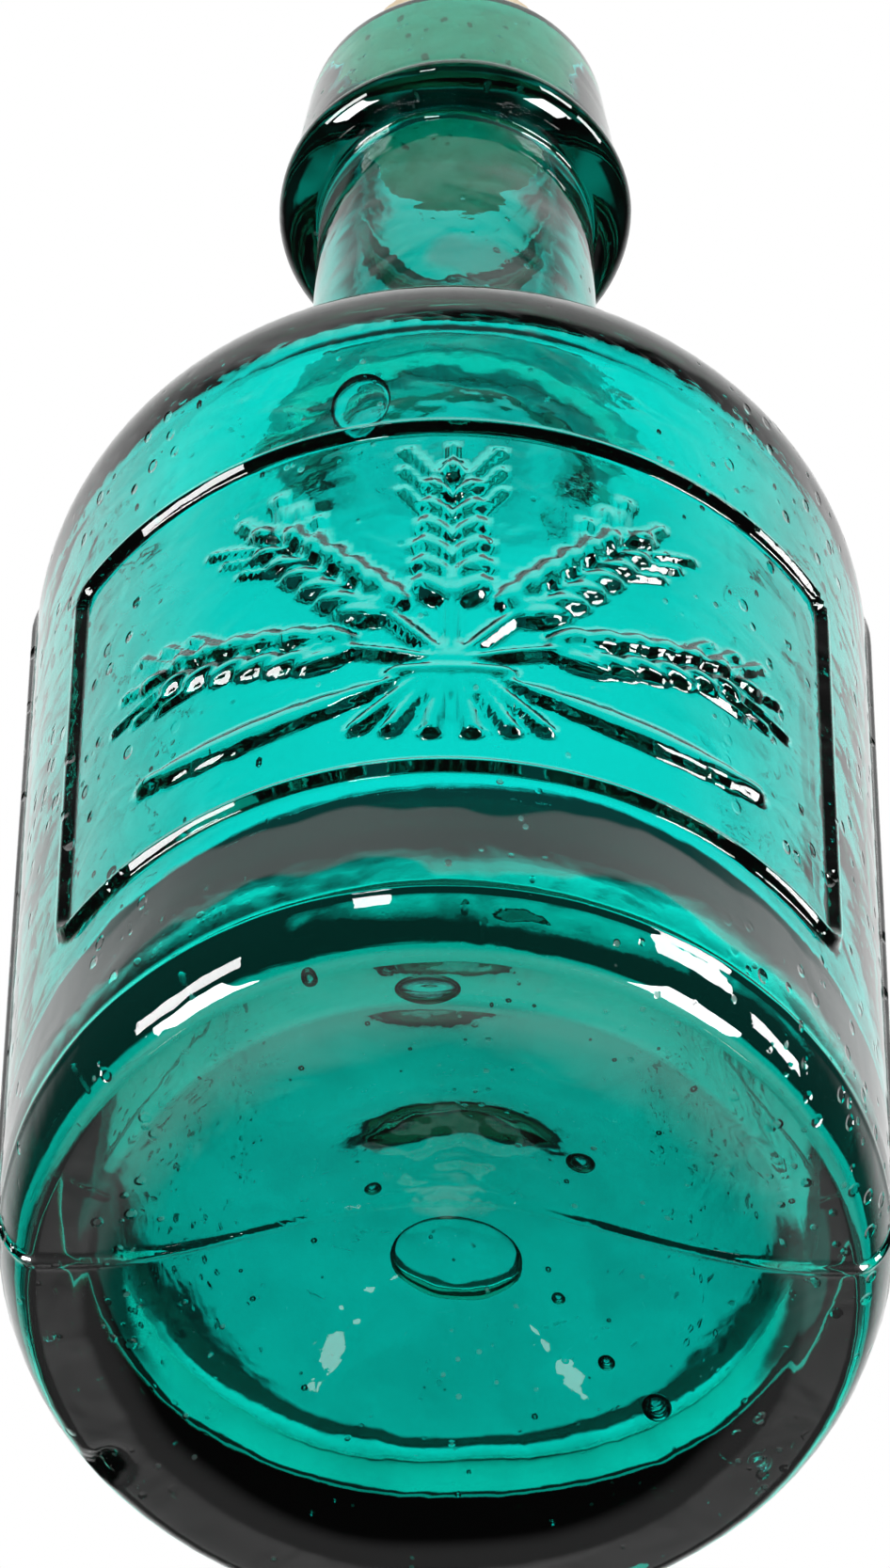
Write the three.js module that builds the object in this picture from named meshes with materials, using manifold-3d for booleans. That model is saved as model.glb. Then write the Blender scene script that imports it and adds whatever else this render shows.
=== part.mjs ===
// Squat stout bottle: a mould-blown glass body, a collar of glass laid on round the neck by hand,
// and the tapered cork that stops its mouth.
// Millimetres, +Z up, origin at the centre of the ring that the bottle stands on.
// The plate faces -Y and the two halves of the mould met on +X and -X, a little in front of the axis.
import * as THREE from 'three';
import { mergeVertices } from 'three/addons/utils/BufferGeometryUtils.js';
import Module from 'manifold-3d';

const wasm = await Module();
wasm.setup();

// Outside of the blown body
const BODY_DIAMETER = 72;
const SHOULDER_HEIGHT = 89.5; // where the straight wall starts to turn in
const SHOULDER_RADIUS = 14;
const SHOULDER_SLOPE = 65; // degrees from vertical between the two shoulder curves
const NECK_FILLET = 20; // hollow curve from the shoulder up into the neck
const NECK_ROOT_DIAMETER = 26.8;
const NECK_DIAMETER = 25.2; // under the collar
const HEEL_WIDTH = 3.5; // how far the rounded heel draws in
const HEEL_HEIGHT = 9;

// Pushed-up base
const RING_WIDTH = 4; // flat ring that the bottle stands on
const KICK_DEPTH = 10;
const KICK_ROUNDING = 0.5; // 0 is a plain cone and 1 a fully rounded push-up

// Hollow inside
const WALL = 3.5;
const BASE_THICKNESS = 10; // glass over the tip of the push-up
const FLOOR_FALL = 8.5; // how far the floor drops from its middle to its edge
const FLOOR_CORNER = 8; // round between the floor and the wall
const BORE_DIAMETER = 17.4;

// Plate on the front, framed by a raised line
const PLATE_WIDTH = 76; // along the curve of the wall
const PLATE_HEIGHT = 50.5;
const PLATE_BOTTOM = 21.5;
const PLATE_LINE = 1.1;
const PLATE_RELIEF = 0.8;

// Mould seam, proud of the surface on both sides and across the push-up
const SEAM_WIDTH = 0.9;
const SEAM_RELIEF = 0.4;
const SEAM_OFFSET = -2.6; // from the axis towards the plate

// Applied collar
const COLLAR_BOTTOM = 160; // where its underside meets the neck
const COLLAR_HEIGHT = 21;
const COLLAR_DIAMETER = 32.7;
const COLLAR_TOP_DIAMETER = 27.8;
const COLLAR_UNDERSIDE = 2.8; // how far the underside climbs out to the edge
const COLLAR_EDGE_RADIUS = 1.1;
const RIM_ROUND = 2.2; // outside of the top rim
const MOUTH_ROUND = 1.2; // inside of the top rim
const COLLAR_OVER_NECK = 5; // collar glass standing above the end of the neck
const FUSED_LINE = 0.05; // the line where the collar's glass lies on the neck's

// Cork
const CORK_LENGTH = 22;
const CORK_STANDS_PROUD = 10;
const CORK_TAPER = 2.2; // degrees on each side
const CORK_CHAMFER = 0.8;
const CORK_CLEARANCE = 0.25; // between the cork and the mouth at its widest fit

const ROUND_SEGMENTS = 64;
const radians = THREE.MathUtils.degToRad;
const point = (radius, height) => new THREE.Vector2(radius, height);

// Points on an arc round a centre, with angles in degrees from straight out to straight up.
// A second radius makes it part of an ellipse that is taller or flatter.
function arc(centreRadius, centreHeight, radius, from, to, steps, upRadius = radius) {
  const clockwise = to < from;
  const curve = new THREE.EllipseCurve(
    centreRadius, centreHeight, radius, upRadius, radians(from), radians(to), clockwise,
  );
  return curve.getPoints(steps);
}

// A shoulder from a wall at one radius up to a neck at a smaller one: a round curve, a straight slope
// and a hollow curve, each tangent to the next. A step too small for the slope uses less of both curves.
function shoulder(wallRadius, neckRadius, startHeight, roundRadius, hollowRadius) {
  const curves = roundRadius + hollowRadius;
  const drop = wallRadius - neckRadius;
  const fullTurn = Math.acos(Math.max(1 - drop / curves, -1));
  const turn = Math.min(radians(SHOULDER_SLOPE), fullTurn);
  const straight = (drop - curves * (1 - Math.cos(turn))) / Math.sin(turn);
  const endHeight = startHeight + curves * Math.sin(turn) + straight * Math.cos(turn);
  const degrees = THREE.MathUtils.radToDeg(turn);
  return [
    ...arc(wallRadius - roundRadius, startHeight, roundRadius, 0, degrees, 7),
    ...arc(neckRadius + hollowRadius, endHeight, hollowRadius, 180 + degrees, 180, 7),
  ];
}

// A closed solid turned from a profile about the bottle's axis.
function turned(profile) {
  const distinct = profile.filter((p, i) => i === 0 || p.distanceTo(profile[i - 1]) > 1e-6);
  return new THREE.LatheGeometry(distinct, ROUND_SEGMENTS).rotateX(Math.PI / 2);
}

// A slab bent round the wall on the front, from one radius out to another.
function bentSlab(width, height, bottom, innerRadius, outerRadius) {
  const wallRadius = BODY_DIAMETER / 2;
  const steps = Math.ceil((width / wallRadius) * (ROUND_SEGMENTS / (2 * Math.PI)));
  const depth = outerRadius - innerRadius;
  const slab = new THREE.BoxGeometry(width, depth, height, steps, 1, 1);
  const position = slab.getAttribute('position');
  for (let i = 0; i < position.count; i += 1) {
    const angle = position.getX(i) / wallRadius;
    const radius = innerRadius + depth / 2 - position.getY(i);
    const z = bottom + height / 2 + position.getZ(i);
    position.setXYZ(i, radius * Math.sin(angle), -radius * Math.cos(angle), z);
  }
  return slab;
}

// A geometry as a solid that can be joined and cut.
function solidOf(geometry) {
  const bare = new THREE.BufferGeometry();
  bare.setAttribute('position', geometry.getAttribute('position'));
  bare.setIndex(geometry.getIndex());
  const merged = mergeVertices(bare, 1e-4);
  return new wasm.Manifold(new wasm.Mesh({
    numProp: 3,
    vertProperties: merged.getAttribute('position').array,
    triVerts: new Uint32Array(merged.getIndex().array),
  }));
}

function geometryOf(solid) {
  const mesh = solid.getMesh();
  const geometry = new THREE.BufferGeometry();
  geometry.setAttribute('position', new THREE.BufferAttribute(mesh.vertProperties, 3));
  geometry.setIndex(new THREE.BufferAttribute(mesh.triVerts, 1));
  geometry.computeVertexNormals();
  return geometry;
}

const BODY_RADIUS = BODY_DIAMETER / 2;
const NECK_RADIUS = NECK_DIAMETER / 2;
const BORE_RADIUS = BORE_DIAMETER / 2;
const LIP_TOP = COLLAR_BOTTOM + COLLAR_HEIGHT;
const NECK_TOP = LIP_TOP - COLLAR_OVER_NECK;

// The outline of the body without its hollow, grown outwards by a seam's height where one is asked for.
function bodyOutline(grown) {
  const heelRadius = BODY_RADIUS - HEEL_WIDTH;
  const kickRadius = heelRadius - RING_WIDTH;
  const kickSteps = 8;
  const kick = [];
  for (let i = 0; i <= kickSteps; i += 1) {
    const share = i / kickSteps;
    const cone = 1 - share;
    const rounded = (1 + Math.cos(Math.PI * share)) / 2;
    const rise = KICK_DEPTH * (cone + KICK_ROUNDING * (rounded - cone));
    kick.push(point(kickRadius * share, rise - grown));
  }
  return [
    ...kick,
    ...arc(heelRadius, HEEL_HEIGHT, HEEL_WIDTH + grown, -90, 0, 6, HEEL_HEIGHT + grown),
    ...shoulder(
      BODY_RADIUS + grown, NECK_ROOT_DIAMETER / 2 + grown, SHOULDER_HEIGHT,
      SHOULDER_RADIUS + grown, NECK_FILLET - grown,
    ),
    point(NECK_RADIUS + grown, COLLAR_BOTTOM),
    point(NECK_RADIUS + grown, NECK_TOP),
    point(0, NECK_TOP),
  ];
}

// The hollow: a floor that follows the push-up, a round corner, the wall, the shoulder and the bore.
function hollowOutline() {
  const wallRadius = BODY_RADIUS - WALL;
  const floorRadius = wallRadius - FLOOR_CORNER;
  const floorTop = KICK_DEPTH + BASE_THICKNESS;
  const floorEdge = floorTop - FLOOR_FALL;
  const floorSteps = 6;
  const floor = [];
  for (let i = 0; i <= floorSteps; i += 1) {
    const share = i / floorSteps;
    const fall = (FLOOR_FALL * (1 - Math.cos(Math.PI * share))) / 2;
    floor.push(point(floorRadius * share, floorTop - fall));
  }
  return [
    ...floor,
    ...arc(floorRadius, floorEdge + FLOOR_CORNER, FLOOR_CORNER, -90, 0, 6),
    ...shoulder(
      wallRadius, BORE_RADIUS, SHOULDER_HEIGHT,
      Math.max(SHOULDER_RADIUS - WALL, 1), NECK_FILLET + WALL,
    ),
    point(BORE_RADIUS, NECK_TOP + 1),
    point(0, NECK_TOP + 1),
  ];
}

function glassBody() {
  const blown = solidOf(turned(bodyOutline(0)));
  const seamTop = COLLAR_BOTTOM - 1;
  const reach = BODY_DIAMETER + 2 * SEAM_RELIEF;
  const partingPlane = new THREE.BoxGeometry(reach, SEAM_WIDTH, seamTop);
  partingPlane.translate(0, SEAM_OFFSET, seamTop / 2);
  const seam = solidOf(turned(bodyOutline(SEAM_RELIEF))).intersect(solidOf(partingPlane));
  const inside = BODY_RADIUS - WALL / 2;
  const outside = BODY_RADIUS + PLATE_RELIEF;
  const plate = solidOf(bentSlab(PLATE_WIDTH, PLATE_HEIGHT, PLATE_BOTTOM, inside, outside));
  const within = solidOf(bentSlab(
    PLATE_WIDTH - 2 * PLATE_LINE, PLATE_HEIGHT - 2 * PLATE_LINE, PLATE_BOTTOM + PLATE_LINE,
    inside - 1, outside + 1,
  ));
  const line = plate.subtract(within);
  const hollow = solidOf(turned(hollowOutline()));
  return geometryOf(blown.add(seam).add(line).subtract(hollow));
}

// The collar sits over the end of the neck: an undercut edge, a tapering face and a rounded rim.
function appliedCollar() {
  const socketRadius = NECK_RADIUS + FUSED_LINE;
  const edgeRadius = COLLAR_DIAMETER / 2;
  const topRadius = COLLAR_TOP_DIAMETER / 2;
  const edgeHeight = COLLAR_BOTTOM + COLLAR_UNDERSIDE;
  const seatHeight = NECK_TOP + FUSED_LINE;
  return turned([
    point(socketRadius, COLLAR_BOTTOM),
    ...arc(edgeRadius - COLLAR_EDGE_RADIUS, edgeHeight, COLLAR_EDGE_RADIUS, -60, 10, 3),
    ...arc(topRadius - RIM_ROUND, LIP_TOP - RIM_ROUND, RIM_ROUND, 8, 90, 4),
    ...arc(BORE_RADIUS + MOUTH_ROUND, LIP_TOP - MOUTH_ROUND, MOUTH_ROUND, 90, 180, 3),
    point(BORE_RADIUS, seatHeight),
    point(socketRadius, seatHeight),
    point(socketRadius, COLLAR_BOTTOM),
  ]);
}

// The cork narrows downwards and fits the mouth where the rim's inner round ends.
function taperedCork() {
  const top = LIP_TOP + CORK_STANDS_PROUD;
  const bottom = top - CORK_LENGTH;
  const fitHeight = LIP_TOP - MOUTH_ROUND;
  const fitRadius = BORE_RADIUS - CORK_CLEARANCE;
  const radiusAt = (height) => fitRadius + (height - fitHeight) * Math.tan(radians(CORK_TAPER));
  return turned([
    point(0, bottom),
    point(radiusAt(bottom) - CORK_CHAMFER, bottom),
    point(radiusAt(bottom), bottom + CORK_CHAMFER),
    point(radiusAt(top), top - CORK_CHAMFER),
    point(radiusAt(top) - CORK_CHAMFER, top),
    point(0, top),
  ]);
}

const bottleGlass = { color: 0x12a98f, roughness: 0.05, metalness: 0 };
const corkBark = { color: 0xb98a58, roughness: 0.9, metalness: 0 };

function piece(name, geometry, finish) {
  const mesh = new THREE.Mesh(geometry, new THREE.MeshStandardMaterial(finish));
  mesh.name = name;
  return mesh;
}

const bottle = new THREE.Group();
bottle.name = 'stout_bottle';
bottle.add(piece('glass_body', glassBody(), bottleGlass));
bottle.add(piece('applied_collar', appliedCollar(), bottleGlass));
bottle.add(piece('cork', taperedCork(), corkBark));

export default bottle;
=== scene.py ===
"""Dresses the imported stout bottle: one body of blown glass with its framed plate, seams, bubbles and wear,
and the bark cork in its mouth, in a plain white studio. Sizes of the pieces are in millimetres, and those
of the finishes and the studio in metres."""

import logging
import math
import random
from collections.abc import Iterator
from dataclasses import dataclass, field
from enum import Enum
from typing import Any, NamedTuple

import bpy
import numpy as np
from mathutils import Matrix, Vector, noise


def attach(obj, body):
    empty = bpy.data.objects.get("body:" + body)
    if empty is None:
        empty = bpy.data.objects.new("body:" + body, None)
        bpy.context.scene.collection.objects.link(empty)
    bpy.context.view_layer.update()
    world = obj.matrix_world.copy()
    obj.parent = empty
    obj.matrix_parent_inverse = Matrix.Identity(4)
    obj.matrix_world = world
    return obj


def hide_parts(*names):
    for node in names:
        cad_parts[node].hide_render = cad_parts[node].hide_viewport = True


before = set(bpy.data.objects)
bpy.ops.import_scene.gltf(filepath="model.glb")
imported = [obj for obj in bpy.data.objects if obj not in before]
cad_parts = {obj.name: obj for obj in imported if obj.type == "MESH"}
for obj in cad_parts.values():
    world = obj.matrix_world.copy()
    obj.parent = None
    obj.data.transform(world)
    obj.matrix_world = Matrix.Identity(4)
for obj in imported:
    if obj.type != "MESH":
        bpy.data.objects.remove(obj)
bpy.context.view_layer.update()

LOG = logging.getLogger("stout_bottle")
MM = 0.001
IMAGE_WIDTH, IMAGE_HEIGHT = 946, 1667

Pair = tuple[float, float]
Triple = tuple[float, float, float]
Ramp = tuple[Pair, Pair]
Socket = bpy.types.NodeSocket


class Zone(Enum):
    """Stretches of the glass outline, from the tip of the push-up round to the floor of the hollow."""

    PUSH_UP = "push_up"
    RING = "ring"
    HEEL = "heel"
    WALL = "wall"
    SHOULDER = "shoulder"
    NECK = "neck"
    COLLAR = "collar"
    MOUTH = "mouth"
    HOLLOW = "hollow"
    FLOOR = "floor"


class BubbleKind(Enum):
    """How finely a bubble is made: large and small ones show their outline, seeds are only specks."""

    LARGE = 4
    SMALL = 3
    SEED = 1


class Row(NamedTuple):
    """One level ring of the turned outline."""

    radius: float
    height: float
    zone: Zone


class Bubble(NamedTuple):
    """A bubble in the glass: its middle, half sizes across, through and up, and its turn round the axis."""

    place: Triple
    half: Triple
    turn: float
    kind: BubbleKind


def arc_rows(
    centre: Pair,
    radii: Pair,
    angles: Pair,
    steps: int,
    zone: Zone,
) -> list[Row]:
    """Rows on part of an ellipse.

    Args:
        centre: Radius and height of the ellipse's middle.
        radii: Half sizes outwards and upwards.
        angles: First and last angle in degrees, from straight out to straight up.
        steps: Number of stretches.
        zone: The zone that the rows belong to.

    Returns:
        The rows from the first angle to the last.
    """
    turns = np.radians(np.linspace(angles[0], angles[1], steps + 1))
    return [
        Row(centre[0] + radii[0] * math.cos(t), centre[1] + radii[1] * math.sin(t), zone) for t in turns
    ]


def line_rows(start: Pair, end: Pair, steps: int, zone: Zone) -> list[Row]:
    """Rows on a straight stretch.

    Args:
        start: First radius and height.
        end: Last radius and height.
        steps: Number of stretches.
        zone: The zone that the rows belong to.

    Returns:
        The rows, both ends included.
    """
    shares = np.linspace(0.0, 1.0, steps + 1)
    return [
        Row(start[0] + (end[0] - start[0]) * s, start[1] + (end[1] - start[1]) * s, zone) for s in shares
    ]


def smooth_step(values: np.ndarray, low: float, high: float) -> np.ndarray:
    """Eases from 0 below low to 1 above high.

    Args:
        values: Values to ease.
        low: Where the rise starts.
        high: Where the rise ends.

    Returns:
        The eased values.
    """
    share = np.clip((values - low) / (high - low), 0.0, 1.0)
    return share * share * (3.0 - 2.0 * share)


@dataclass
class BlownOutline:
    """Outline of the glass: the push-up, heel, wall, shoulder, neck and collar, and the hollow inside."""

    body_radius: float = 35.95
    heel_width: float = 3.5
    heel_height: float = 9.0
    ring_width: float = 4.0
    ring_lift: float = 0.25
    kick_depth: float = 10.0
    kick_rounding: float = 0.5
    shoulder_height: float = 89.5
    shoulder_radius: float = 14.0
    shoulder_slope: float = 65.0
    neck_fillet: float = 20.0
    neck_root_radius: float = 13.4
    neck_radius: float = 12.6
    collar_bottom: float = 160.0
    bead_width: float = 3.3
    bead_height: float = 2.7
    face_inset: float = 0.75
    collar_radius: float = 16.35
    collar_top_radius: float = 13.9
    rim_round: float = 2.2
    mouth_round: float = 1.2
    lip_height: float = 181.0
    bore_radius: float = 8.7
    wall: float = 3.5
    floor_middle: float = 21.0
    floor_edge: float = 11.5
    floor_corner: float = 8.0
    shoulder_drop: float = 2.0
    plate_span: Pair = (20.5, 73.0)
    plate_step: float = 0.45
    bead_turn: Pair = (-100.0, 40.0)
    rim_turn: Pair = (8.0, 90.0)
    face_lift: float = 0.5
    shoulder_steps: tuple[int, int] = (16, 18)
    ring_steps: int = 7
    bead_steps: int = 22
    face_steps: int = 16
    rim_steps: int = 9
    mouth_steps: int = 6
    corner_steps: int = 18
    push_up_rows: int = 42
    heel_steps: int = 44
    wall_steps: int = 12
    neck_steps: int = 20
    floor_rows: int = 26
    hollow_steps: int = 34
    bore_steps: int = 16

    def shoulder_rows(
        self, wall: float, neck: float, start: float, rounding: float, fillet: float, zone: Zone
    ) -> list[Row]:
        """Rows of a shoulder: a round curve, a straight slope and a hollow curve.

        Args:
            wall: Radius of the wall below.
            neck: Radius of the neck above.
            start: Height where the wall starts to turn in.
            rounding: Radius of the round curve.
            fillet: Radius of the hollow curve.
            zone: The zone that the rows belong to.

        Returns:
            The rows from the wall up to the neck.
        """
        curves = rounding + fillet
        turn = math.radians(self.shoulder_slope)
        straight = (wall - neck - curves * (1.0 - math.cos(turn))) / math.sin(turn)
        top = start + curves * math.sin(turn) + straight * math.cos(turn)
        slope, (low_steps, high_steps) = self.shoulder_slope, self.shoulder_steps
        below = arc_rows((wall - rounding, start), (rounding,) * 2, (0.0, slope), low_steps, zone)
        above = arc_rows((neck + fillet, top), (fillet,) * 2, (180.0 + slope, 180.0), high_steps, zone)
        return below + above

    def outside_below(self) -> list[Row]:
        """Rows from the tip of the push-up to the top of the straight wall."""
        heel = self.body_radius - self.heel_width
        foot = heel - self.ring_width
        rows = []
        for share in np.linspace(0.0, 1.0, self.push_up_rows):
            cone = 1.0 - share
            rounded = (1.0 + math.cos(math.pi * share)) / 2.0
            rise = (self.kick_depth - self.ring_lift) * (cone + self.kick_rounding * (rounded - cone))
            rows.append(Row(foot * share, self.ring_lift + rise, Zone.PUSH_UP))
        ring = (foot, self.ring_lift), (heel, self.ring_lift)
        rows += line_rows(*ring, self.ring_steps, Zone.RING)[1:-1]
        rise = self.heel_height - self.ring_lift
        heel_middle, heel_radii = (heel, self.heel_height), (self.heel_width, rise)
        rows += arc_rows(heel_middle, heel_radii, (-90.0, 0.0), self.heel_steps, Zone.HEEL)
        low, high = self.plate_span
        steps = round((high - low) / self.plate_step)
        levels = (self.heel_height, low, high, self.shoulder_height - 1.0)
        wall_foot, plate_low, plate_high, wall_top = ((self.body_radius, level) for level in levels)
        rows += line_rows(wall_foot, plate_low, self.wall_steps, Zone.WALL)[1:-1]
        rows += line_rows(plate_low, plate_high, steps, Zone.WALL)
        rows += line_rows(plate_high, wall_top, self.wall_steps, Zone.WALL)[1:]
        return rows

    def outside_above(self) -> list[Row]:
        """Rows from the shoulder up over the collar to the mouth."""
        rows = self.shoulder_rows(
            self.body_radius,
            self.neck_root_radius,
            self.shoulder_height,
            self.shoulder_radius,
            self.neck_fillet,
            Zone.SHOULDER,
        )
        root = (rows[-1].radius, rows[-1].height)
        rows += line_rows(root, (self.neck_radius, self.collar_bottom), self.neck_steps, Zone.NECK)[1:]
        bead = (self.collar_radius - self.bead_width, self.collar_bottom + self.bead_height)
        bead_radii = (self.bead_width, self.bead_height)
        under = arc_rows(bead, bead_radii, self.bead_turn, self.bead_steps, Zone.COLLAR)
        rows += under[1:]
        rim_middle = (self.collar_top_radius - self.rim_round, self.lip_height - self.rim_round)
        rim = arc_rows(rim_middle, (self.rim_round,) * 2, self.rim_turn, self.rim_steps, Zone.COLLAR)
        face = (self.collar_radius - self.face_inset, under[-1].height + self.face_lift)
        rows += line_rows(face, (rim[0].radius, rim[0].height), self.face_steps, Zone.COLLAR)[:-1]
        rows += rim
        mouth_middle = (self.bore_radius + self.mouth_round, self.lip_height - self.mouth_round)
        mouth_radii = (self.mouth_round,) * 2
        rows += arc_rows(mouth_middle, mouth_radii, (90.0, 180.0), self.mouth_steps, Zone.MOUTH)
        return rows

    def inside(self) -> list[Row]:
        """Rows from the mouth down the bore, shoulder and wall of the hollow to the middle of its floor."""
        wall = self.body_radius - self.wall
        edge = wall - self.floor_corner
        start = self.shoulder_height - self.shoulder_drop
        shoulder = self.shoulder_rows(
            wall,
            self.bore_radius,
            start,
            self.shoulder_radius - self.wall,
            self.neck_fillet + self.wall,
            Zone.HOLLOW,
        )
        corner_height = self.floor_edge + self.floor_corner
        rows = []
        for share in np.linspace(0.0, 1.0, self.floor_rows):
            fall = (self.floor_middle - self.floor_edge) * (1.0 - math.cos(math.pi * share)) / 2.0
            rows.append(Row(edge * share, self.floor_middle - fall, Zone.FLOOR))
        corner, corner_radii = (edge, corner_height), (self.floor_corner,) * 2
        rows += arc_rows(corner, corner_radii, (-90.0, 0.0), self.corner_steps, Zone.HOLLOW)[1:]
        rows += line_rows((wall, corner_height), (wall, start), self.hollow_steps, Zone.HOLLOW)[1:-1]
        rows += shoulder
        bore = (shoulder[-1].radius, shoulder[-1].height)
        mouth = (self.bore_radius, self.lip_height - self.mouth_round)
        rows += line_rows(bore, mouth, self.bore_steps, Zone.HOLLOW)[1:-1]
        return rows[::-1]


@dataclass
class FramedPlate:
    """The raised line that frames the plate on the front of the wall."""

    half_width: float = 38.0
    bottom: float = 21.5
    top: float = 72.0
    line: float = 1.15
    relief: float = 0.8
    corner: float = 2.4
    spread: float = 0.72
    roundness: float = 1.5

    def height(self, across: np.ndarray, up: np.ndarray) -> np.ndarray:
        """Height of the line over the wall.

        Args:
            across: Distance round the wall from the middle of the front.
            up: Height on the bottle.

        Returns:
            The line's height at each point.
        """
        half_up = (self.top - self.bottom) / 2.0
        inset = self.line / 2.0 + self.corner
        dx = np.abs(across) - (self.half_width - inset)
        dz = np.abs(up - (self.top + self.bottom) / 2.0) - (half_up - inset)
        outside = np.hypot(np.maximum(dx, 0.0), np.maximum(dz, 0.0))
        distance = np.abs(outside + np.minimum(np.maximum(dx, dz), 0.0) - self.corner)
        share = np.clip(distance / (self.line * self.spread), 0.0, 1.0)
        return self.relief * (1.0 - share**2) ** self.roundness


@dataclass
class BarleySheaf:
    """A plain sheaf of barley in low relief: ears in a fan, bound stems and two leaves."""

    foot: float = 36.0
    ears: int = 5
    fan: float = 68.0
    stalk: float = 11.0
    pairs: int = 6
    pair_step: float = 2.9
    kernel: Pair = (2.6, 1.4)
    relief: float = 0.8
    stalk_half: float = 0.85
    grain_spread: float = 1.6
    grain_turn: float = 0.42
    tip_shrink: float = 0.35
    first_beard: int = 3
    beard_rise: float = 6.5
    beard_splay: float = 2.6
    beard_half: float = 0.5
    band_reach: float = 4.2
    band_half: float = 1.25
    stems: int = 6
    stem_lean: float = 0.75
    stem_half: float = 0.95
    leaf_parts: int = 9

    def height(self, across: np.ndarray, up: np.ndarray) -> np.ndarray:
        """Height of the sheaf over the plate.

        Args:
            across: Distance round the wall from the middle of the front.
            up: Height on the bottle.

        Returns:
            The sheaf's height at each point.
        """
        field_height = np.zeros_like(across)
        for lean in np.linspace(-self.fan, self.fan, self.ears):
            for part in self.ear_parts(math.radians(lean)):
                np.maximum(field_height, part(across, up), out=field_height)
        for part in self.binding_parts():
            np.maximum(field_height, part(across, up), out=field_height)
        return field_height

    def ear_parts(self, lean: float) -> Iterator[Any]:
        """Height functions of one ear with its stalk and beard.

        Args:
            lean: Angle of the ear from upright, in radians.

        Yields:
            A function of across and up for each grain, stalk and beard.
        """
        along = np.array([math.sin(lean), math.cos(lean)])
        side = np.array([along[1], -along[0]])
        start = np.array([0.0, self.foot])
        yield self.stroke(start, start + along * (self.stalk + 1.0), self.stalk_half, 0.8 * self.relief)
        for i in range(self.pairs):
            middle = start + along * (self.stalk + i * self.pair_step)
            shrink = 1.0 - self.tip_shrink * (i / self.pairs) ** 2
            for hand in (-1.0, 1.0):
                at = middle + side * hand * self.grain_spread * shrink
                yield self.grain(at, lean + hand * self.grain_turn, shrink)
                if i >= self.first_beard:
                    tip = at + along * self.beard_rise + side * hand * self.beard_splay
                    yield self.stroke(at + along * 1.5, tip, self.beard_half, 0.5 * self.relief)
        end = start + along * (self.stalk + self.pairs * self.pair_step)
        yield self.grain(end, lean, 0.75)
        yield self.stroke(end, end + along * 4.0, self.beard_half, 0.5 * self.relief)

    def binding_parts(self) -> Iterator[Any]:
        """Height functions of the band, the cut stems below it and the two leaves."""
        foot = self.foot
        left, right = (np.array([hand * self.band_reach, foot - 1.0]) for hand in (-1.0, 1.0))
        yield self.stroke(left, right, self.band_half, self.relief)
        for lean in np.linspace(-self.stem_lean, self.stem_lean, self.stems):
            start = np.array([math.sin(lean) * 3.0, foot - 1.5])
            end = np.array([math.sin(lean) * 11.0, foot - 9.5 + abs(lean) * 2.2])
            yield self.stroke(start, end, self.stem_half, 0.85 * self.relief)
        for hand in (-1.0, 1.0):
            spine = [
                np.array([hand * (4.0 + 23.0 * t), foot - 2.0 - 9.0 * t + 7.5 * t * t])
                for t in np.linspace(0.0, 1.0, self.leaf_parts)
            ]
            for i, (a, b) in enumerate(zip(spine, spine[1:])):
                half = 0.5 + 1.5 * math.sin(math.pi * (i + 0.6) / self.leaf_parts)
                yield self.stroke(a, b, half, 0.8 * self.relief)

    def grain(self, at: np.ndarray, lean: float, shrink: float) -> Any:
        """Height function of one grain.

        Args:
            at: Its middle on the plate.
            lean: Its angle from upright, in radians.
            shrink: Share of the full size.

        Returns:
            A function of across and up.
        """
        long, short = self.kernel[0] * shrink, self.kernel[1] * shrink

        def height(across: np.ndarray, up: np.ndarray) -> np.ndarray:
            """Height of the grain at each point."""
            dx, dz = across - at[0], up - at[1]
            u = dx * math.sin(lean) + dz * math.cos(lean)
            v = dx * math.cos(lean) - dz * math.sin(lean)
            return self.relief * np.sqrt(np.clip(1.0 - (u / long) ** 2 - (v / short) ** 2, 0.0, 1.0))

        return height

    def stroke(self, start: np.ndarray, end: np.ndarray, half: float, relief: float) -> Any:
        """Height function of a straight rounded stroke.

        Args:
            start: One end on the plate.
            end: The other end.
            half: Half its width.
            relief: Its height.

        Returns:
            A function of across and up.
        """
        run = end - start
        length = float(run @ run)

        def height(across: np.ndarray, up: np.ndarray) -> np.ndarray:
            """Height of the stroke at each point."""
            dx, dz = across - start[0], up - start[1]
            share = np.clip((dx * run[0] + dz * run[1]) / length, 0.0, 1.0)
            distance = np.hypot(dx - share * run[0], dz - share * run[1])
            return relief * np.clip(1.0 - (distance / half) ** 2, 0.0, 1.0) ** 0.7

        return height


@dataclass
class MouldSeam:
    """The ridge where the two halves of the mould met, down both sides and across the push-up."""

    offset: float = -2.6
    width: float = 0.36
    relief: float = 0.4
    fade: Pair = (118.0, 146.0)

    def height(self, points: np.ndarray) -> np.ndarray:
        """Height of the ridge at each point.

        Args:
            points: Places on the outside of the glass.

        Returns:
            The ridge's height there.
        """
        ridge = np.exp(-(((points[..., 1] - self.offset) / self.width) ** 2))
        return self.relief * ridge * (1.0 - smooth_step(points[..., 2], *self.fade))


@dataclass(frozen=True)
class Ripple:
    """Unevenness of hand-blown glass as smooth noise."""

    depth: float
    length: float
    start: float = 0.0
    squash: float = 1.0

    def values(self, points: np.ndarray) -> np.ndarray:
        """Signed depth at each point.

        Args:
            points: Places in the glass.

        Returns:
            The depth there, about plus or minus the ripple's own.
        """
        flat = points.reshape(-1, 3) / self.length
        flat = flat * np.array([1.0, 1.0, self.squash]) + self.start
        values = np.fromiter((noise.noise(Vector(p)) for p in flat.tolist()), float, len(flat))
        return self.depth * values.reshape(points.shape[:-1])


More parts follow.
